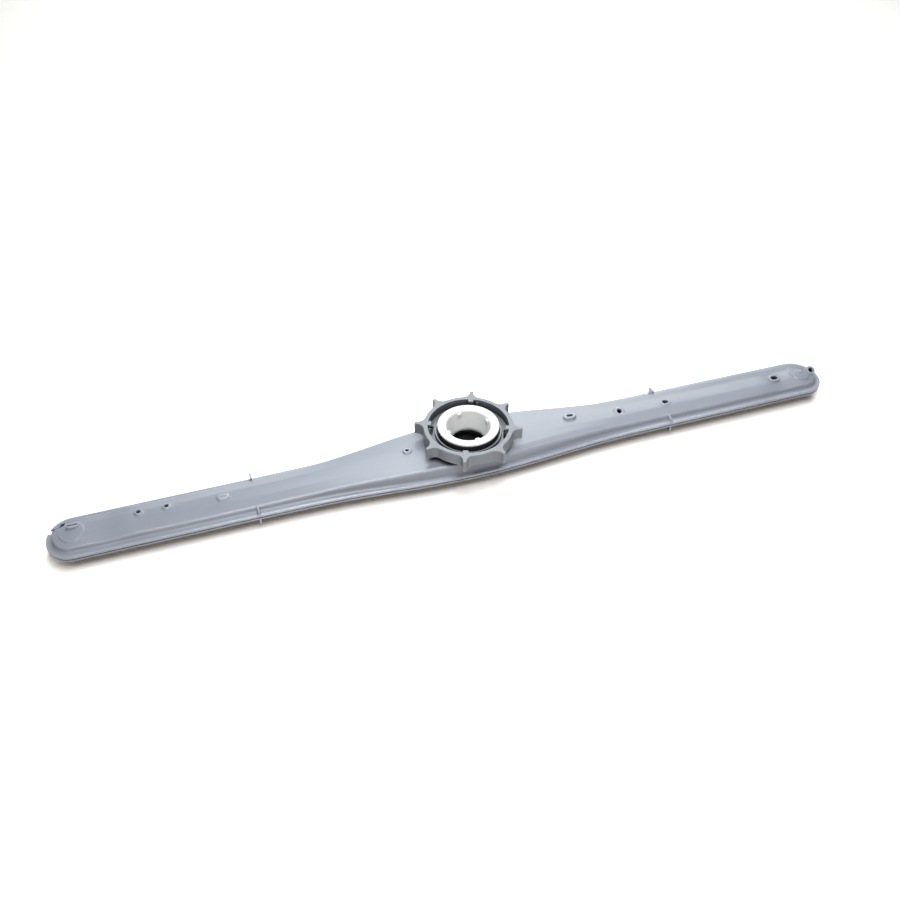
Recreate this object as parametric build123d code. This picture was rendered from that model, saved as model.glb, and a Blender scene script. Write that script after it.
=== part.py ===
from build123d import *
from math import cos, hypot, pi, radians, tan
import os

# Spray arm of a dishwasher, lying on its lower shell with the nozzles up.
# Millimetres. X runs along the arm and Z up. The origin is under the hub axis, on the resting surface.

# Plan of the arm
arm_length = 472.5
arm_half_width = 15.5
tip_half_width = 15.0
tip_cap_length = 14.0
hub_half_width = 21.2
flare_length = 102.0
half_length = arm_length / 2

# Rim where the two shells are welded together
seam_height = 9.6
flange_width = 4.0
hub_flange_width = 2.4
upper_flange_thickness = 1.5
rim_rounding = 0.5
lower_flange_thickness = 1.6
seam_groove_height = 0.8
seam_groove_depth = 1.3

# Water channel of the upper shell: a crown along its top, which falls to a corner on each side
wall = 1.6
wall_draft = 1.5
corner_rise = 2.5
hub_corner_rise = 5.5
corner_rise_length = 130.0
corner_radius = 1.1
crown_rise = 2.0
hub_crown_rise = 3.8
crown_rise_length = 115.0
crown_half_width = 4.3
crown_share = 0.125
tip_droop = 1.6
tip_droop_length = 13.0
wall_foot_radius = 1.6

# Soft front shoulder of the right half
shoulder_width = 4.5
shoulder_drop = 0.4
hub_shoulder_drop = 1.4
shoulder_length = 120.0
shoulder_run_in = 25.0

# Raised band that grows out of the crown towards each tip, and the round pad at its end
band_rise = 0.3
band_start = 110.0
band_end_gap = 14.0
pad_gap = 14.5
pad_radius = 6.0
pad_rise = 0.12
pad_taper = 45.0
gate_mark_radius = 2.2
gate_mark_rise = 0.4
gate_mark_taper = 45.0

# Nozzles: place on the arm, size of the boss and of the hole, height of the boss, and lean to the front
nozzle_taper = 8.0
nozzle_depth = 4.0
boss_rounding = 0.5
nozzles = {
    "left_inner": dict(place=(-36.4, 1.6), boss=(5.0, 5.0), hole=(2.1, 2.1), rise=1.1, lean=0),
    "left_middle": dict(place=(64.1 - half_length, 2.5), boss=(4.8, 4.8), hole=(2.5, 2.5), rise=0.7, lean=0),
    "left_outer": dict(place=(49.3 - half_length, 2.6), boss=(4.8, 4.8), hole=(2.5, 2.5), rise=0.7, lean=0),
    "right_inner": dict(place=(64.9, 2.1), boss=(8.4, 5.2), hole=(4.0, 2.1), rise=1.7, lean=0),
    "right_lean": dict(place=(96.3, -0.8), boss=(6.7, 6.7), hole=(2.9, 2.9), rise=0.7, lean=28),
    "right_middle": dict(place=(127.1, -1.3), boss=(6.8, 5.2), hole=(4.1, 3.0), rise=0.6, lean=0),
    "right_outer": dict(place=(half_length - 33, -1.5), boss=(8.2, 6.0), hole=(4.4, 2.9), rise=0.6, lean=8),
    "right_tip": dict(place=(half_length - 6.3, -0.8), boss=(6.8, 6.8), hole=(3.1, 3.1), rise=1.6, lean=28),
}
blank_nozzle = dict(place=(-141.7, 0.2), boss=(7.4, 4.4), rise=0.9, lean=0)

# Fan jet at the left tip: a slit in a raised lip, and a notch through the rim
slit_gap = 15.2
slit_line = 2.6
slit_boss = (7.4, 4.2)
slit_boss_rise = 1.4
slit_size = (5.6, 0.7)
slit_depth = 7.4
notch_line = 7.2
notch_width = 3.4
notch_length = 10.8
notch_pocket = 1.2

# Gusset fins between the channel and the rim
fin_place = 125.0
fin_thickness = 1.1
fin_setback = 0.4
front_fin_height = 2.2
front_fin_root_height = 3.2
back_fin_height = 4.2
back_fin_root_height = 4.4
lower_fin_depth = 3.6
lower_fin_setback = 0.1

# Trough of the lower shell
trough_setback = 0.6
trough_draft = 18.0
trough_edge_radius = 2.5

# Hub socket of the upper shell
socket_wall = 2.4
socket_floor = 1.6
socket_ledge = 2.4
socket_rise = 3.25
socket_depth = 7.05

# Bearing bush
bush_radius = 14.4
bush_fit = 0.05
bush_wall = 1.5
bush_funnel = 3.3
bush_lip_rise = 2.8
bush_lip_thickness = 1.6
bush_flange_reach = 3.35
bush_flange_thickness = 1.3
bush_flange_rounding = 0.4
bush_mouth_rounding = 1.5
lug_count = 4
lug_angle = 7.0
lug_width = 2.4
lug_reach = 1.5
lug_height = 2.8
lug_depth = 0.9

# Seal ring between the bush flange and the collar floor
seal_clearance = 0.3
seal_width = 2.8
seal_height = 4.35
seal_top_gap = 0.25

# Locking collar
collar_height = 7.1
collar_floor = 1.6
collar_clearance = 0.35
collar_wall = 2.6
collar_edge_radius = 0.45
groove_width = 4.1
lip_gap = 0.8
lip_width = 0.9
lip_height = 1.8
horn_count = 8
horn_angle = 22.5
horn_reach = 5.2
horn_width = 2.3
horn_tip_rounding = 0.7
horn_flat = 0.4
tab_count = 4
tab_angle = 67.5
tab_width = 3.0
tab_reach = 1.9
tab_thickness = 1.7
window_width = 7.5
window_depth = 3.0
stop_rib_angle = 57.5
stop_rib_width = 1.2
stop_rib_reach = 0.7

# Heights and radii that follow from these
tip_start = half_length - tip_cap_length
droop_start = half_length - flange_width - tip_droop_length
band_end = half_length - band_end_gap
flange_top = seam_height + upper_flange_thickness
lower_flange_bottom = seam_height - lower_flange_thickness
corner_height = flange_top + corner_rise
crown_height = corner_height + crown_rise
hub_crown_height = crown_height + hub_crown_rise
socket_top = hub_crown_height + socket_rise
socket_seat = socket_top - socket_depth
collar_bottom = socket_top + collar_clearance
collar_top = collar_bottom + collar_height
collar_floor_top = collar_bottom + collar_floor
seal_top = collar_floor_top + seal_height
bush_flange_bottom = seal_top + seal_top_gap
bush_top = bush_flange_bottom + bush_flange_thickness
bush_mouth_radius = bush_radius - bush_wall
bush_throat_radius = bush_mouth_radius - bush_funnel
seal_inner_radius = bush_radius + seal_clearance
seal_radius = seal_inner_radius + seal_width
lip_radius = seal_radius + lip_gap
collar_inner_radius = lip_radius + lip_width + groove_width
collar_radius = collar_inner_radius + collar_wall
horn_tip_radius = collar_radius + horn_reach
horn_flat_radius = horn_tip_radius - horn_tip_rounding - horn_flat
margin = 1.0
whole_height = bush_top + margin


def falloff(distance, length):
    """Runs smoothly from 1 at the hub axis to 0 at the length."""
    return cos(pi / 2 * min(distance / length, 1)) ** 2


def ramp(distance, length):
    """Runs smoothly from 0 at the hub axis, and on the left half, to 1 at the length."""
    share = min(max(distance / length, 0), 1)
    return share * share * (3 - 2 * share)


def half_width(distance):
    """Half the width of the rim at a distance from the hub axis."""
    taper = max(distance - flare_length, 0) / (tip_start - flare_length)
    flare = (hub_half_width - arm_half_width) * falloff(distance, flare_length)
    return arm_half_width + flare - (arm_half_width - tip_half_width) * taper


def channel_half_width(distance):
    """Half the width of the channel, where the rim is narrower at the hub."""
    widening = (flange_width - hub_flange_width) * falloff(distance, flare_length)
    return half_width(distance) - flange_width + widening


def droop(distance):
    """Drop of the channel's top at the tips."""
    share = max(distance - droop_start, 0) / tip_droop_length
    return tip_droop * share * share


def corner_line(distance):
    """Height of the channel's corners, which rise to the hub."""
    return corner_height + hub_corner_rise * falloff(distance, corner_rise_length) - droop(distance)


def crown_line(distance):
    """Height of the channel's crown, which rises to the hub."""
    return crown_height + hub_crown_rise * falloff(distance, crown_rise_length) - droop(distance)


def crown_edge(distance):
    """Height where the crown meets the slopes beside it."""
    return crown_line(distance) - crown_share * (crown_line(distance) - corner_line(distance))


def slope(distance):
    """Fall of the channel's sides for each millimetre away from the crown."""
    run = channel_half_width(distance) - crown_half_width
    return (crown_edge(distance) - corner_line(distance)) / run


def band_lift(distance):
    """Height of the raised band over the crown."""
    return band_rise * (distance - band_start) / (band_end - band_start)


def top_height(x, y):
    """Height of what a nozzle stands on."""
    distance = abs(x)
    height = crown_line(distance) - max(abs(y) - crown_half_width, 0) * slope(distance)
    return height + max(band_lift(min(distance, band_end)), 0)


def plan(inset, height, widening=0.0):
    """Plan of the arm as a face at a height, drawn in from the rim and let out again at the hub."""
    flare = [flare_length * quarter / 4 for quarter in range(5)]
    stations = flare + [(flare_length + tip_start) / 2, tip_start]
    points = [(d, half_width(d) - inset + widening * falloff(d, flare_length)) for d in stations]
    side = Spline(*points, tangents=((1, 0), (1, 0)))
    tip = EllipticalCenterArc((tip_start, 0), tip_cap_length - inset, tip_half_width - inset, 0, arc_size=90)
    right = [side, tip, mirror(side, Plane.XZ), mirror(tip, Plane.XZ)]
    left = [mirror(edge, Plane.YZ) for edge in right]
    return Pos(0, 0, height) * make_face(right + left)


def shoulder(x):
    """Extra drop of the front corner on the right half, where it is softly rounded."""
    drop = shoulder_drop + (hub_shoulder_drop - shoulder_drop) * falloff(abs(x), shoulder_length)
    return drop * ramp(x, shoulder_run_in)


def roof_section(x, drop):
    """Section across everything below the channel's top, lowered by the drop."""
    distance = abs(x)
    reach = channel_half_width(distance) + margin
    fall = slope(distance)
    edge = crown_edge(distance) - drop
    bend = channel_half_width(distance) - shoulder_width
    bend_height = edge - (bend - crown_half_width) * fall
    run = reach - bend
    sag = shoulder(x) * (run / shoulder_width) ** 2
    back_corner = (reach, edge - (reach - crown_half_width) * fall)
    front_corner = (-reach, bend_height - run * fall - sag)
    ridge = (0, crown_line(distance) - drop)
    crown = ThreePointArc((crown_half_width, edge), ridge, (-crown_half_width, edge))
    front = Bezier((-bend, bend_height), (-bend - run / 2, bend_height - run / 2 * fall), front_corner)
    outline = [
        Line(back_corner, (crown_half_width, edge)),
        crown,
        Line((-crown_half_width, edge), (-bend, bend_height)),
        front,
        Line(front_corner, (-reach, 0)),
        Line((-reach, 0), (reach, 0)),
        Line((reach, 0), back_corner),
    ]
    return Plane((x, 0, 0), x_dir=(0, 1, 0), z_dir=(1, 0, 0)) * make_face(outline)


def roof(drop):
    """Everything below the channel's top, lowered by the drop."""
    rise = [corner_rise_length * tenth / 10 for tenth in range(11)]
    run = [corner_rise_length + (droop_start - corner_rise_length) * quarter / 4 for quarter in range(1, 5)]
    tip = [droop_start + (half_length + margin - droop_start) * fifth / 5 for fifth in range(1, 6)]
    places = rise + run + tip
    places = [-place for place in reversed(places[1:])] + places
    return loft([roof_section(x, drop) for x in places])


def channel(inset, drop, bottom):
    """Solid of the water channel, its walls drawn in from the rim and its top lowered."""
    top = hub_crown_height + margin
    draft = tan(radians(wall_draft))
    widening = flange_width - hub_flange_width
    lower = plan(inset - (flange_top - bottom) * draft, bottom, widening)
    upper = plan(inset + (top - flange_top) * draft, top, widening)
    return loft([lower, upper], ruled=True) & roof(drop)


def rounded_channel():
    """Outside of the water channel with its upper corners rounded."""
    block = channel(flange_width, 0, 0)
    corners = [edge for edge in block.edges() if edge.center().Z > flange_top and edge.length < half_length]
    return fillet(corners, corner_radius)


def disc(radius, bottom, top):
    """Plain disc about the hub axis between two heights."""
    return Pos(0, 0, bottom) * extrude(Circle(radius), top - bottom)


def ring(inner, outer, bottom, top):
    """Plain ring about the hub axis between two radii and two heights."""
    return disc(outer, bottom, top) - disc(inner, bottom, top)


def peg(inner, outer, width, bottom, top):
    """Block that stands on the X axis between two radii and two heights."""
    block = Box(outer - inner, width, top - bottom)
    return Pos((inner + outer) / 2, 0, (bottom + top) / 2) * block


def oblong(size):
    """Outline of a nozzle boss or hole: round, or drawn out along the arm."""
    length, width = size
    return SlotOverall(length, width) if length > width else Circle(width / 2)


def nozzle_spot(nozzle):
    """Where a nozzle's boss rises from the arm, leaned to the front."""
    x, y = nozzle["place"]
    return Location((x, y, top_height(x, y)), (nozzle["lean"], 0, 0))


def boss_block(size, height):
    """Tapered boss with a rounded top edge, standing on its foot."""
    boss = extrude(oblong(size), height, taper=nozzle_taper)
    return fillet(boss.edges().group_by(Axis.Z)[-1], boss_rounding)


def nozzle_boss(nozzle):
    """Raised boss of one nozzle, sunk into the wall that carries it."""
    boss = boss_block(nozzle["boss"], wall + nozzle["rise"])
    return nozzle_spot(nozzle) * Pos(0, 0, -wall) * boss


def nozzle_hole(nozzle):
    """Hole of one nozzle, from above its boss into the channel."""
    depth = nozzle_depth + nozzle["rise"] + margin
    return nozzle_spot(nozzle) * Pos(0, 0, -nozzle_depth) * extrude(oblong(nozzle["hole"]), depth)


def fin(x, side, setback, root, outer, foot):
    """Gusset across the rim: heights at the channel and at the rim's edge, and of its foot."""
    edge = half_width(abs(x)) - setback
    base = channel_half_width(abs(x)) - wall / 2
    outline = make_face(Polyline((base, foot), (edge, foot), (edge, outer), (base, root), close=True))
    across = Plane((x, 0, 0), x_dir=(0, side, 0), z_dir=(side, 0, 0))
    return extrude(across * outline, fin_thickness / 2, both=True)


def band(half):
    """Raised band on one half: the crown, lifted more and more towards the tip, inside a slot's outline."""
    start = band_start - 2 * crown_half_width
    places = [start + (band_end + margin - start) * fifth / 5 for fifth in range(6)]
    lifted = loft([roof_section(half * place, -band_lift(place)) for place in places])
    slot = SlotOverall(band_end - start, 2 * crown_half_width)
    return Pos(half * (start + band_end) / 2, 0, flange_top) * extrude(slot, whole_height) & lifted


def end_pad(half):
    """Round pad with a bevelled edge at the end of a band, which follows the top of the arm."""
    middle = half_length - pad_gap
    height = crown_height + band_rise + pad_rise - corner_height
    foot_radius = pad_radius + height * tan(radians(pad_taper))
    reach = foot_radius + margin
    places = [middle + reach * step / 2 for step in range(-2, 3)]
    lifted = loft([roof_section(half * place, -band_rise - pad_rise) for place in places])
    cone = extrude(Circle(foot_radius), height + margin, taper=pad_taper)
    return Pos(half * middle, 0, corner_height) * cone & lifted


def gate_mark():
    """Low round mark that the mould left on the right pad."""
    x = half_length - pad_gap
    mark = extrude(Circle(gate_mark_radius), gate_mark_rise + pad_rise, taper=gate_mark_taper)
    return Pos(x, 0, top_height(x, 0)) * mark


def slit_top():
    """Place and height of the top of the fan jet's lip."""
    x = slit_gap - half_length
    return Pos(x, slit_line, top_height(x, slit_line) + slit_boss_rise)


def slit_lip():
    """Raised lip round the slit of the fan jet."""
    depth = slit_boss_rise + wall
    return slit_top() * Pos(0, 0, -depth) * boss_block(slit_boss, depth)


def slit_cut():
    """Slit along the lip of the fan jet."""
    length, width = slit_size
    return slit_top() * Pos(0, 0, margin - slit_depth / 2) * Box(length, width, slit_depth)


def notch(bottom):
    """Notch through the rim beside the fan jet, down to a height."""
    length = notch_length + margin
    height = whole_height - bottom
    x = notch_length - half_length - length / 2
    return Pos(x, notch_line, bottom + height / 2) * Box(length, notch_width, height)


def upper_shell():
    """Top moulding: rim flange, hollow channel, nozzles, fins and the hub socket."""
    flange = extrude(plan(0, seam_height), upper_flange_thickness)
    body = fillet(flange.edges().group_by(Axis.Z)[-1], rim_rounding)
    body += rounded_channel()
    rim_top = body.faces().filter_by(Plane.XY).sort_by(Axis.Z)[-1]
    body = fillet(rim_top.inner_wires()[0].edges(), wall_foot_radius)
    for half in (-1, 1):
        body += [band(half), end_pad(half)]
    body += [nozzle_boss(nozzle) for nozzle in [*nozzles.values(), blank_nozzle]]
    body += [slit_lip(), gate_mark()]
    foot = flange_top - upper_flange_thickness / 2
    for x in (-fin_place, fin_place):
        front_root = flange_top + front_fin_root_height
        body += fin(x, -1, fin_setback, front_root, flange_top + front_fin_height, foot)
        back_root = flange_top + back_fin_root_height
        body += fin(x, 1, fin_setback, back_root, flange_top + back_fin_height, foot)
    body -= channel(flange_width + wall, wall, 0)
    body = split(body, bisect_by=Plane.XY.offset(seam_height), keep=Keep.TOP)
    bore = bush_radius + bush_fit
    body += disc(bore + socket_wall, socket_seat - socket_floor, socket_top)
    body -= disc(bore, socket_seat, whole_height)
    body -= disc(bush_radius - socket_ledge, 0, whole_height)
    body -= [nozzle_hole(nozzle) for nozzle in nozzles.values()]
    body -= slit_cut()
    return body - notch(seam_height - margin)


def trough(inset, floor):
    """Solid of the lower shell's trough, drawn in towards its floor."""
    draw_in = (seam_height - floor) * tan(radians(trough_draft))
    return loft([plan(inset + draw_in, floor), plan(inset, seam_height)], ruled=True)


def lower_shell():
    """Bottom moulding: welded rim and the trough that the arm rests on."""
    inset = flange_width + trough_setback
    body = trough(inset, 0)
    body = fillet(body.edges().group_by(Axis.Z)[0], trough_edge_radius)
    body += extrude(plan(0, lower_flange_bottom), lower_flange_thickness)
    fin_foot = lower_flange_bottom - lower_fin_depth
    fin_top = lower_flange_bottom + lower_flange_thickness / 2
    for x in (-fin_place, fin_place):
        for side in (-1, 1):
            body += fin(x, side, lower_fin_setback, fin_top, fin_top, fin_foot)
    body -= trough(inset + wall, wall)
    groove_face = plan(0, seam_height) - plan(seam_groove_depth, seam_height)
    body -= extrude(groove_face, -seam_groove_height)
    return body - notch(seam_height - notch_pocket)


def bearing_bush():
    """White bush: flange, funnel down to a narrow lip, and the lugs in its mouth."""
    lip_bottom = socket_seat + bush_lip_rise
    lip_top = lip_bottom + bush_lip_thickness
    foot_radius = bush_radius - socket_ledge
    flange_radius = bush_radius + bush_flange_reach
    section = Polyline(
        (foot_radius, socket_seat),
        (bush_radius, socket_seat),
        (bush_radius, bush_flange_bottom),
        (flange_radius, bush_flange_bottom),
        (flange_radius, bush_top),
        (bush_mouth_radius, bush_top),
        (bush_throat_radius, lip_top),
        (bush_throat_radius, lip_bottom),
        (foot_radius, lip_bottom),
        close=True,
    )
    profile = make_face(section)
    rim = profile.vertices().group_by(Axis.X)[-1]
    profile = fillet(rim, bush_flange_rounding)
    mouth = profile.vertices().group_by(Axis.Y)[-1].sort_by(Axis.X)[0]
    profile = fillet(mouth, bush_mouth_rounding)
    body = revolve(Plane.XZ * profile, Axis.Z)
    lug_top = bush_top - lug_depth
    lug_root = bush_mouth_radius + bush_wall / 2
    lug = peg(bush_mouth_radius - lug_reach, lug_root, lug_width, lug_top - lug_height, lug_top)
    for turn in range(lug_count):
        body += Rot(0, 0, lug_angle + turn * 360 / lug_count) * lug
    return body


def collar_plan():
    """Outline of the collar: a disc with grip horns, whose roots sweep out to the flats at their tips."""
    horn_start = collar_radius - margin
    horn = Pos((horn_start + horn_tip_radius) / 2, 0) * Rectangle(horn_tip_radius - horn_start, horn_width)
    outline = Circle(collar_radius)
    for turn in range(horn_count):
        outline += Rot(0, 0, horn_angle + turn * 360 / horn_count) * horn
    between = (collar_radius + horn_tip_radius) / 2
    roots = [corner for corner in outline.vertices() if hypot(corner.X, corner.Y) < between]
    sweep = horn_flat_radius**2 - collar_radius**2 + horn_width**2 / 4
    outline = fillet(roots, sweep / (2 * collar_radius - horn_width))
    tips = [corner for corner in outline.vertices() if hypot(corner.X, corner.Y) > horn_tip_radius]
    return fillet(tips, horn_tip_rounding)


def locking_collar():
    """Grey collar: horned ring, floor with windows, bayonet tabs, stop ribs and a lip round the seal."""
    body = Pos(0, 0, collar_bottom) * extrude(collar_plan(), collar_height)
    body = fillet(body.edges().group_by(Axis.Z)[-1], collar_edge_radius)
    body -= disc(collar_inner_radius, collar_floor_top, whole_height)
    body -= disc(bush_radius + collar_clearance, 0, whole_height)
    body += ring(lip_radius, lip_radius + lip_width, collar_floor_top, collar_floor_top + lip_height)
    root = collar_inner_radius + collar_wall / 2
    tab_bottom = collar_top - tab_thickness
    tab = peg(collar_inner_radius - tab_reach, root, tab_width, tab_bottom, collar_top)
    window = peg(collar_inner_radius - window_depth, collar_inner_radius, window_width, 0, collar_floor_top)
    stop_rib = peg(collar_inner_radius - stop_rib_reach, root, stop_rib_width, collar_floor_top, tab_bottom)
    for turn in range(tab_count):
        angle = turn * 360 / tab_count
        body -= Rot(0, 0, tab_angle + angle) * window
        body += Rot(0, 0, tab_angle + angle) * tab
        body += Rot(0, 0, stop_rib_angle + angle) * stop_rib
    return body


def seal_ring():
    """Black ring that lies on the collar floor under the bush flange."""
    return ring(seal_inner_radius, seal_radius, collar_floor_top, seal_top)


pieces = {
    "upper_shell": upper_shell,
    "lower_shell": lower_shell,
    "bearing_bush": bearing_bush,
    "locking_collar": locking_collar,
    "seal_ring": seal_ring,
}

os.makedirs("parts", exist_ok=True)
for name, make in pieces.items():
    piece = make()
    piece.label = name
    export_step(piece, f"parts/{name}.step")
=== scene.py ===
import bmesh
import bpy
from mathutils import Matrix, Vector

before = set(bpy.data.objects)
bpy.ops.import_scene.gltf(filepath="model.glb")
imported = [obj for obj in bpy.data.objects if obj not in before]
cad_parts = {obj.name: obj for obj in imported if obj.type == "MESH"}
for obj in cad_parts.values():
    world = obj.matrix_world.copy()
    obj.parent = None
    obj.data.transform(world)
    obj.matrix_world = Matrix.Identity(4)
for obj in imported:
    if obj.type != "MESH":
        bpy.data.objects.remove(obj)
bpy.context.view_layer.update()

# Viewpoint of the photograph, in metres, with the arm lying on the table at z = 0
camera_place = Vector((-0.1352, -0.3829, 0.3843))
camera_target = Vector((-0.006365, 0.014392, 0.0))
camera_lens = 37.616
camera_sensor = 36.0
camera_near = 0.01

# Table under the arm, with a faint warm glow that tints its shadows
table_size = 8.0
table_colour = (0.96, 0.95, 0.93, 1.0)
table_glow = (1.0, 0.84, 0.68, 1.0)
table_glow_strength = 0.06
table_roughness = 0.7
table_fibre_scale = 900.0
table_fibre_detail = 2.0
table_fibre_depth = 0.2

# Plastics and rubber
arm_grey = (0.185, 0.201, 0.238, 1.0)
collar_grey = (0.133, 0.143, 0.163, 1.0)
bush_white = (0.60, 0.605, 0.60, 1.0)
seal_black = (0.012, 0.011, 0.011, 1.0)
# Near-black colour of the painted shade in deep hollows, under the collar and inside the shells
painted_shade_black = (0.010, 0.009, 0.008, 1.0)
plastic_ior = 1.5

# Finish of each piece, in metres where it is a length. An edge gain of 0 leaves the edges without the
# lighter wear and painted highlight.
# Painted shade in the hollows is for the grey pieces: it would dim the white bush's bore, and the seal is
# black already
finishes = {
    "upper_shell": {
        "name": "upper_shell_grey",
        "colour": arm_grey,
        "roughness": 0.34,
        "grain_depth": 0.00003,
        "edge_softness": 0.0018,
        "edge_gain": 8.0,
        "paint_hollow_shade": True,
    },
    "lower_shell": {
        "name": "lower_shell_grey",
        "colour": arm_grey,
        "roughness": 0.36,
        "grain_depth": 0.00003,
        "edge_softness": 0.0004,
        "edge_gain": 1.0,
        "paint_hollow_shade": True,
    },
    "locking_collar": {
        "name": "collar_grey",
        "colour": collar_grey,
        "roughness": 0.42,
        "grain_depth": 0.00003,
        "edge_softness": 0.0004,
        "edge_gain": 0.5,
        "paint_hollow_shade": True,
    },
    "bearing_bush": {
        "name": "bush_white",
        "colour": bush_white,
        "roughness": 0.35,
        "grain_depth": 0.00002,
        "edge_softness": 0.0005,
        "edge_gain": 0.0,
        "paint_hollow_shade": False,
    },
    "seal_ring": {
        "name": "seal_black",
        "colour": seal_black,
        "roughness": 0.55,
        "grain_depth": 0.00004,
        "edge_softness": 0.0004,
        "edge_gain": 0.3,
        "paint_hollow_shade": False,
    },
}

# The white bush lets a little light through
bush_glow_weight = 0.6
bush_glow_depth = 0.004
bush_glow_spread = (1.0, 0.95, 0.9)

# Moulded skin: broad clouds, streaks drawn out along the arm, and a fine grain
usual_roughness = 0.4
cloud_scale = 45.0
cloud_detail = 4.0
cloud_depth = 0.06
cloud_gloss = 0.12
streak_stretch = (12.0, 260.0, 260.0)
streak_detail = 3.0
streak_depth = 0.05
grain_scale = 2600.0
grain_detail = 2.0
grain_strength = 0.25

# Painted shade in deep places: how far to look for walls, and how open a place is where it is dark and
# where it is light
hollow_reach = 0.05
hollow_dark_below = 0.12
hollow_light_above = 0.42
hollow_dullness = 0.4
hollow_samples = 8

# Lighter and smoother edges, most of all near the hub: partly wear, as handling would rub them, and partly
# a painted highlight. They are stronger than plain wear, to stand in for the bright lines that the
# photograph has on the arm's corner and rim.
# The reach of the edge search stays under the thickness of the walls
edge_reach = 0.0015
edge_samples = 6
edge_polish = 0.18
edge_wear_and_highlight_lightness = 1.8
edge_patch_scale = 350.0
edge_patch_detail = 3.0
edge_patch_depth = 0.9
edge_patch_level = 0.8
wear_and_highlight_full_reach = 0.14
wear_and_highlight_fade_end = 0.20
wear_and_highlight_at_tips = 0.35

# Edges are crisper at the tips than along the arm
tip_start = 0.194
tip_full = 0.204
tip_softness = 0.0003
soft_edge_samples = 6

# Round mark that an ejector pin left near the left tip
pin_mark_place = (-0.2157, -0.0080, 0.0)
pin_mark_radius = 0.0019
pin_mark_width = 0.0004
pin_mark_height = 0.00012
pin_mark_strength = 0.5

# Soft boxes of the studio: place, what it faces, size, power and colour
soft_boxes = {
    "overhead_box": ((-0.03, -0.22, 0.80), (0.0, -0.04, 0.0), (0.30, 0.60), 7.6, (0.97, 0.98, 1.0)),
    "left_box": ((-0.50, -0.40, 0.85), (0.0, 0.0, 0.0), (0.4, 0.4), 2.2, (1.0, 0.99, 0.97)),
    "back_box": ((0.60, 0.84, 0.79), (0.0, 0.0, 0.0), (0.6, 0.4), 4.7, (0.97, 1.0, 1.0)),
    "low_back_box": ((0.20, 1.10, 0.45), (0.0, 0.0, 0.0), (1.0, 0.4), 5.0, (0.97, 1.0, 0.99)),
    "front_box": ((-0.30, -1.10, 0.35), (0.0, 0.0, 0.0), (0.8, 0.4), 2.1, (1.0, 0.88, 0.76)),
    "right_box": ((0.50, 0.10, 0.85), (0.0, 0.0, 0.0), (0.4, 0.4), 1.6, (1.0, 0.96, 0.96)),
    "near_back_box": ((0.05, 0.35, 0.50), (0.0, 0.0, 0.0), (0.25, 0.25), 1.8, (0.90, 1.0, 0.98)),
}
room_colour = (1.0, 1.0, 1.0, 1.0)
room_strength = 0.03


def new_group(name, inputs, outputs):
    """Empty shader group with named sockets, and its input and output nodes."""
    group = bpy.data.node_groups.new(name, "ShaderNodeTree")
    for socket, kind, value in inputs:
        made = group.interface.new_socket(socket, in_out="INPUT", socket_type=kind)
        made.default_value = value
    for socket, kind in outputs:
        group.interface.new_socket(socket, in_out="OUTPUT", socket_type=kind)
    return group, group.nodes.new("NodeGroupInput"), group.nodes.new("NodeGroupOutput")


def use_group(tree, group):
    """Node that uses a shader group."""
    node = tree.nodes.new("ShaderNodeGroup")
    node.node_tree = group
    return node


def feed(tree, slot, value):
    """Sets a socket to a number, or links it to another socket."""
    if isinstance(value, bpy.types.NodeSocket):
        tree.links.new(value, slot)
    else:
        slot.default_value = value


def calc(tree, operation, *terms, clamp=False):
    """Result of a math node whose terms are numbers or sockets."""
    node = tree.nodes.new("ShaderNodeMath")
    node.operation = operation
    node.use_clamp = clamp
    for slot, term in zip(node.inputs, terms):
        feed(tree, slot, term)
    return node.outputs[0]


def noise(tree, place, scale, detail):
    """Noise pattern around 0 on a place."""
    node = tree.nodes.new("ShaderNodeTexNoise")
    feed(tree, node.inputs["Vector"], place)
    feed(tree, node.inputs["Scale"], scale)
    feed(tree, node.inputs["Detail"], detail)
    return calc(tree, "SUBTRACT", node.outputs["Fac"], 0.5)


def blend(tree, share, first, second):
    """Colour between two, at a share."""
    node = tree.nodes.new("ShaderNodeMix")
    node.data_type = "RGBA"
    feed(tree, node.inputs["Factor"], share)
    feed(tree, node.inputs["A"], first)
    feed(tree, node.inputs["B"], second)
    return node.outputs["Result"]


def object_place(tree):
    """Place on the piece, in its own coordinates."""
    return tree.nodes.new("ShaderNodeTexCoord").outputs["Object"]


def along_arm(tree, start, end, start_value, end_value):
    """Value that changes with the distance from the hub along the arm."""
    axes = tree.nodes.new("ShaderNodeSeparateXYZ")
    tree.links.new(object_place(tree), axes.inputs[0])
    ramp = tree.nodes.new("ShaderNodeMapRange")
    tree.links.new(calc(tree, "ABSOLUTE", axes.outputs["X"]), ramp.inputs["Value"])
    ramp.inputs["From Min"].default_value = start
    ramp.inputs["From Max"].default_value = end
    ramp.inputs["To Min"].default_value = start_value
    ramp.inputs["To Max"].default_value = end_value
    return ramp.outputs["Result"]


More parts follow.
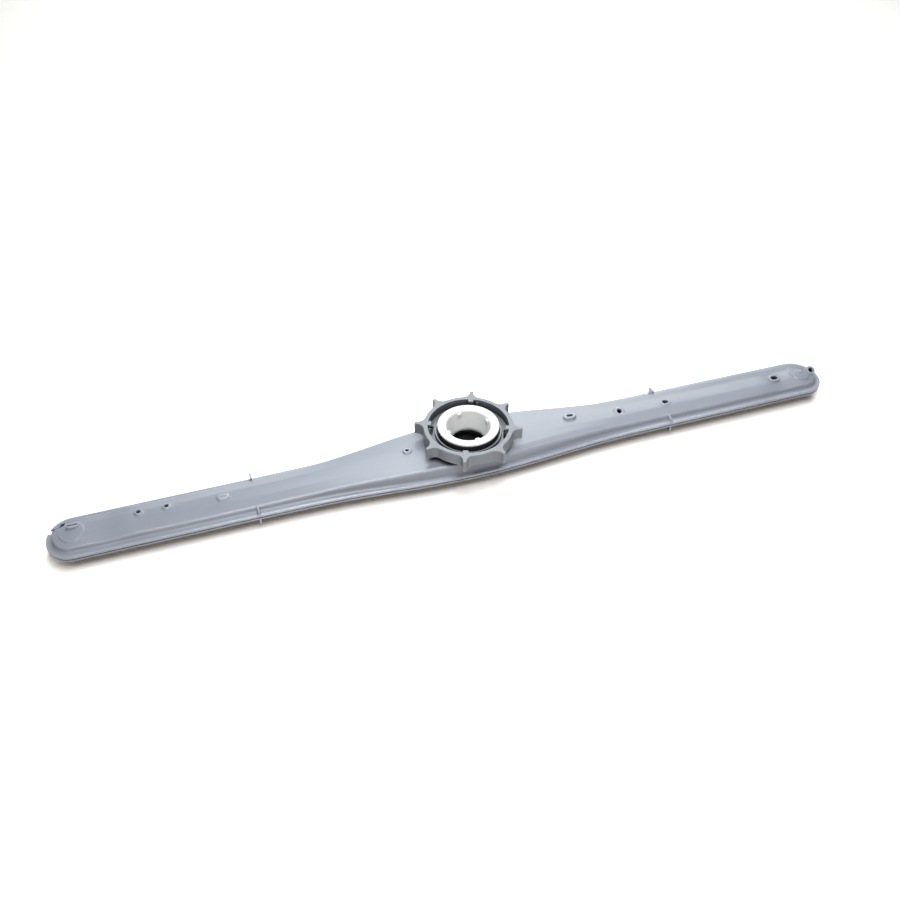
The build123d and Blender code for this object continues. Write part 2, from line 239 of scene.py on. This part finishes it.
def moulded_skin_group():
    """Skin of a moulded plastic: soft clouds, faint flow streaks along the arm and a fine grain."""
    group, given, out = new_group(
        "moulded_skin",
        [
            ("Colour", "NodeSocketColor", arm_grey),
            ("Cloud Depth", "NodeSocketFloat", cloud_depth),
            ("Streak Depth", "NodeSocketFloat", streak_depth),
            ("Roughness", "NodeSocketFloat", usual_roughness),
        ],
        [("Colour", "NodeSocketColor"), ("Roughness", "NodeSocketFloat"), ("Height", "NodeSocketFloat")],
    )
    place = object_place(group)
    drawn_out = group.nodes.new("ShaderNodeVectorMath")
    drawn_out.operation = "MULTIPLY"
    drawn_out.inputs[1].default_value = streak_stretch
    group.links.new(place, drawn_out.inputs[0])
    clouds = noise(group, place, cloud_scale, cloud_detail)
    streaks = noise(group, drawn_out.outputs[0], 1.0, streak_detail)
    shade = calc(group, "MULTIPLY_ADD", clouds, given.outputs["Cloud Depth"], 1.0)
    shade = calc(group, "MULTIPLY_ADD", streaks, given.outputs["Streak Depth"], shade)
    tint = group.nodes.new("ShaderNodeVectorMath")
    tint.operation = "SCALE"
    group.links.new(given.outputs["Colour"], tint.inputs[0])
    group.links.new(shade, tint.inputs["Scale"])
    group.links.new(tint.outputs[0], out.inputs["Colour"])
    gloss = calc(group, "MULTIPLY_ADD", clouds, cloud_gloss, given.outputs["Roughness"])
    group.links.new(gloss, out.inputs["Roughness"])
    group.links.new(noise(group, place, grain_scale, grain_detail), out.inputs["Height"])
    return group


def hollow_shade_group():
    """Mask of painted shade in deep places that light hardly reaches: 1 in a nozzle or under the collar, 0
    on open faces.
    """
    group, given, out = new_group(
        "hollow_painted_shade",
        [
            ("Reach", "NodeSocketFloat", hollow_reach),
            ("Dark Below", "NodeSocketFloat", hollow_dark_below),
            ("Light Above", "NodeSocketFloat", hollow_light_above),
        ],
        [("Mask", "NodeSocketFloat")],
    )
    openness = group.nodes.new("ShaderNodeAmbientOcclusion")
    openness.samples = hollow_samples
    group.links.new(given.outputs["Reach"], openness.inputs["Distance"])
    ramp = group.nodes.new("ShaderNodeMapRange")
    ramp.interpolation_type = "SMOOTHSTEP"
    group.links.new(openness.outputs["AO"], ramp.inputs["Value"])
    group.links.new(given.outputs["Dark Below"], ramp.inputs["From Min"])
    group.links.new(given.outputs["Light Above"], ramp.inputs["From Max"])
    ramp.inputs["To Min"].default_value = 1.0
    ramp.inputs["To Max"].default_value = 0.0
    group.links.new(ramp.outputs["Result"], out.inputs["Mask"])
    return group


def edge_wear_and_highlight_group():
    """Mask of the outer edges that are lighter and smoother than the faces, most of all near the hub:
    partly wear, partly a painted highlight.
    """
    group, given, out = new_group(
        "edge_wear_and_highlight",
        [("Reach", "NodeSocketFloat", edge_reach), ("Gain", "NodeSocketFloat", 1.0)],
        [("Mask", "NodeSocketFloat")],
    )
    thin = group.nodes.new("ShaderNodeAmbientOcclusion")
    thin.samples = edge_samples
    thin.inside = True
    thin.only_local = True
    group.links.new(given.outputs["Reach"], thin.inputs["Distance"])
    pattern = noise(group, object_place(group), edge_patch_scale, edge_patch_detail)
    patches = calc(group, "MULTIPLY_ADD", pattern, edge_patch_depth, edge_patch_level, clamp=True)
    hub_share = along_arm(group, wear_and_highlight_full_reach, wear_and_highlight_fade_end, 1.0, wear_and_highlight_at_tips)
    edge = calc(group, "SUBTRACT", 1.0, thin.outputs["AO"], clamp=True)
    edge = calc(group, "MULTIPLY", edge, given.outputs["Gain"], clamp=True)
    wear_and_highlight_share = calc(group, "MULTIPLY", patches, hub_share)
    group.links.new(calc(group, "MULTIPLY", edge, wear_and_highlight_share), out.inputs["Mask"])
    return group


def pin_mark_group():
    """Raised ring that an ejector pin left, as a height."""
    group, given, out = new_group(
        "pin_mark",
        [
            ("Place", "NodeSocketVector", pin_mark_place),
            ("Radius", "NodeSocketFloat", pin_mark_radius),
            ("Width", "NodeSocketFloat", pin_mark_width),
        ],
        [("Height", "NodeSocketFloat")],
    )
    flat = group.nodes.new("ShaderNodeVectorMath")
    flat.operation = "MULTIPLY"
    flat.inputs[1].default_value = (1.0, 1.0, 0.0)
    group.links.new(object_place(group), flat.inputs[0])
    reach = group.nodes.new("ShaderNodeVectorMath")
    reach.operation = "DISTANCE"
    group.links.new(flat.outputs[0], reach.inputs[0])
    group.links.new(given.outputs["Place"], reach.inputs[1])
    off = calc(group, "SUBTRACT", reach.outputs["Value"], given.outputs["Radius"])
    share = calc(group, "DIVIDE", calc(group, "ABSOLUTE", off), given.outputs["Width"])
    group.links.new(calc(group, "SUBTRACT", 1.0, share, clamp=True), out.inputs["Height"])
    return group


def skin_material(groups, name, colour, roughness, grain_depth, edge_softness, edge_gain, paint_hollow_shade):
    """Material of one piece: moulded skin, edges lighter from wear and a painted highlight, painted shade
    in the hollows, softened edges and grain.
    """
    material = bpy.data.materials.new(name)
    material.use_nodes = True
    tree = material.node_tree
    shader = tree.nodes["Principled BSDF"]
    shader.inputs["IOR"].default_value = plastic_ior
    finish = use_group(tree, groups["skin"])
    finish.inputs["Colour"].default_value = colour
    finish.inputs["Roughness"].default_value = roughness
    shade = finish.outputs["Colour"]
    gloss = finish.outputs["Roughness"]
    if edge_gain:
        edge_brightening = use_group(tree, groups["edge"])
        edge_brightening.inputs["Gain"].default_value = edge_gain
        edge = edge_brightening.outputs["Mask"]
        # Outer edges are lightened, partly as wear and partly as a painted highlight
        wear_and_highlight_colour = tuple(min(edge_wear_and_highlight_lightness * part, 1.0) for part in colour[:3]) + (1.0,)
        shade = blend(tree, edge, shade, wear_and_highlight_colour)
        gloss = calc(tree, "MULTIPLY_ADD", edge, -edge_polish, gloss)
    # Deep hollows get painted shade: the colour is blended towards near black where little light reaches
    if paint_hollow_shade:
        deep = use_group(tree, groups["hollow"]).outputs["Mask"]
        shade = blend(tree, deep, shade, painted_shade_black)
        gloss = calc(tree, "MULTIPLY_ADD", deep, hollow_dullness, gloss, clamp=True)
    tree.links.new(shade, shader.inputs["Base Color"])
    tree.links.new(gloss, shader.inputs["Roughness"])
    soft_edge = tree.nodes.new("ShaderNodeBevel")
    soft_edge.name = "soft_edge"
    soft_edge.samples = soft_edge_samples
    softness = along_arm(tree, tip_start, tip_full, edge_softness, tip_softness)
    tree.links.new(softness, soft_edge.inputs["Radius"])
    grain = tree.nodes.new("ShaderNodeBump")
    grain.name = "grain"
    grain.inputs["Strength"].default_value = grain_strength
    grain.inputs["Distance"].default_value = grain_depth
    tree.links.new(finish.outputs["Height"], grain.inputs["Height"])
    tree.links.new(soft_edge.outputs["Normal"], grain.inputs["Normal"])
    tree.links.new(grain.outputs["Normal"], shader.inputs["Normal"])
    return material


def add_pin_mark(material):
    """Adds the ejector pin's mark to a material, under its grain."""
    tree = material.node_tree
    mark = use_group(tree, pin_mark_group())
    bump = tree.nodes.new("ShaderNodeBump")
    bump.inputs["Strength"].default_value = pin_mark_strength
    bump.inputs["Distance"].default_value = pin_mark_height
    tree.links.new(mark.outputs["Height"], bump.inputs["Height"])
    tree.links.new(tree.nodes["soft_edge"].outputs["Normal"], bump.inputs["Normal"])
    tree.links.new(bump.outputs["Normal"], tree.nodes["grain"].inputs["Normal"])


def let_light_through(material):
    """Makes a material slightly translucent, as white plastic is."""
    shader = material.node_tree.nodes["Principled BSDF"]
    shader.inputs["Subsurface Weight"].default_value = bush_glow_weight
    shader.inputs["Subsurface Scale"].default_value = bush_glow_depth
    shader.inputs["Subsurface Radius"].default_value = bush_glow_spread


def dress(node, material):
    """Gives a piece of the arm its finish."""
    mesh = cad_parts[node].data
    mesh.materials.clear()
    mesh.materials.append(material)


def table():
    """Pale table top, wider than the view."""
    mesh = bpy.data.meshes.new("table")
    shape = bmesh.new()
    bmesh.ops.create_grid(shape, x_segments=1, y_segments=1, size=table_size / 2)
    shape.to_mesh(mesh)
    shape.free()
    top = bpy.data.objects.new("table", mesh)
    bpy.context.scene.collection.objects.link(top)
    material = bpy.data.materials.new("table_white")
    material.use_nodes = True
    tree = material.node_tree
    shader = tree.nodes["Principled BSDF"]
    pattern = noise(tree, object_place(tree), table_fibre_scale, table_fibre_detail)
    fibre = calc(tree, "MULTIPLY_ADD", pattern, table_fibre_depth, table_roughness)
    tree.links.new(fibre, shader.inputs["Roughness"])
    shader.inputs["Base Color"].default_value = table_colour
    shader.inputs["Emission Color"].default_value = table_glow
    shader.inputs["Emission Strength"].default_value = table_glow_strength
    mesh.materials.append(material)


def soft_box(name, place, target, size, power, colour):
    """Rectangular soft light that faces a point."""
    data = bpy.data.lights.new(name, "AREA")
    data.shape = "RECTANGLE"
    data.size, data.size_y = size
    data.energy = power
    data.color = colour
    light = bpy.data.objects.new(name, data)
    light.location = place
    light.rotation_euler = (Vector(target) - Vector(place)).to_track_quat("-Z", "Y").to_euler()
    bpy.context.scene.collection.objects.link(light)


def studio():
    """Soft studio light: boxes above and around the arm, in a dim room."""
    world = bpy.data.worlds.new("studio")
    bpy.context.scene.world = world
    world.use_nodes = True
    background = world.node_tree.nodes["Background"]
    background.inputs["Color"].default_value = room_colour
    background.inputs["Strength"].default_value = room_strength
    for name, settings in soft_boxes.items():
        soft_box(name, *settings)
    bpy.context.scene.view_settings.view_transform = "Standard"


def camera():
    """Camera at the photograph's viewpoint."""
    data = bpy.data.cameras.new("camera")
    data.lens = camera_lens
    data.sensor_width = camera_sensor
    data.clip_start = camera_near
    view = bpy.data.objects.new("camera", data)
    view.location = camera_place
    view.rotation_euler = (camera_target - camera_place).to_track_quat("-Z", "Y").to_euler()
    bpy.context.scene.collection.objects.link(view)
    bpy.context.scene.camera = view


groups = {"skin": moulded_skin_group(), "hollow": hollow_shade_group(), "edge": edge_wear_and_highlight_group()}
materials = {node: skin_material(groups, **finish) for node, finish in finishes.items()}
add_pin_mark(materials["upper_shell"])
let_light_through(materials["bearing_bush"])
for node, material in materials.items():
    dress(node, material)
table()
studio()
camera()
